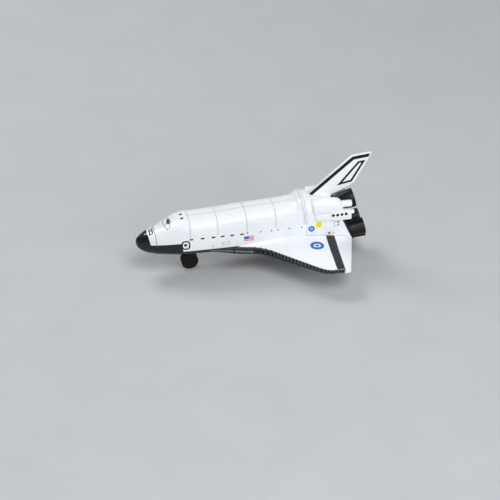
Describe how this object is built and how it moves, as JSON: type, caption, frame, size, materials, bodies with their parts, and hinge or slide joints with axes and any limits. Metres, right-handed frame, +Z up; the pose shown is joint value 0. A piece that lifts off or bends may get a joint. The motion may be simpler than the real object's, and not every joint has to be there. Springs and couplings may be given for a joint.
{
  "type": "die-cast toy space shuttle",
  "caption": "Small metal toy space shuttle with a delta wing, tail fin, engine bells and free-turning wheels on short fixed legs.",
  "frame": {"origin": "on the ground, under the middle of the toy's length and span", "axes": "-Y to the nose, +Y to the tail, +X to the craft's left wing tip, +Z up"},
  "size_m": [0.0824, 0.1238, 0.0573],
  "materials": {
    "white_enamel": "gloss white enamel on die-cast metal",
    "black_plastic": "gloss moulded black plastic",
    "engine_plastic": "satin moulded black plastic",
    "wheel_plastic": "satin moulded black plastic",
    "steel": "bright drawn steel"
  },
  "bodies": {
    "airframe": {"nose_cap": "black_plastic", "fuselage": "white_enamel", "base_plate": "black_plastic", "tail_fin": "white_enamel", "wing_left": "white_enamel", "wing_right": "white_enamel", "leading_edge_left": "black_plastic", "leading_edge_right": "black_plastic", "main_gear_leg_left": "black_plastic", "main_gear_leg_right": "black_plastic", "engine_plate": "black_plastic", "engine_bell_top": "engine_plastic", "engine_bell_left": "engine_plastic", "engine_bell_right": "engine_plastic", "body_flap": "black_plastic", "nose_gear_leg": "black_plastic", "nose_axle": "steel", "main_axle": "steel", "rivet_front": "steel", "rivet_rear": "steel"},
    "nose_wheels": {"nose_wheel_left": "wheel_plastic", "nose_wheel_right": "wheel_plastic"},
    "main_wheel_left": {"main_wheel_left": "wheel_plastic"},
    "main_wheel_right": {"main_wheel_right": "wheel_plastic"}
  },
  "joints": [
    {"name": "nose_wheels_spin", "type": "hinge", "parent": "airframe", "child": "nose_wheels", "pos_m": [0, -0.0341, 0.00445], "axis": [1, 0, 0], "continuous": true},
    {"name": "main_wheel_left_spin", "type": "hinge", "parent": "airframe", "child": "main_wheel_left", "pos_m": [0.0098, 0.0244, 0.00445], "axis": [1, 0, 0], "continuous": true},
    {"name": "main_wheel_right_spin", "type": "hinge", "parent": "airframe", "child": "main_wheel_right", "pos_m": [-0.0098, 0.0244, 0.00445], "axis": [1, 0, 0], "continuous": true}
  ]
}
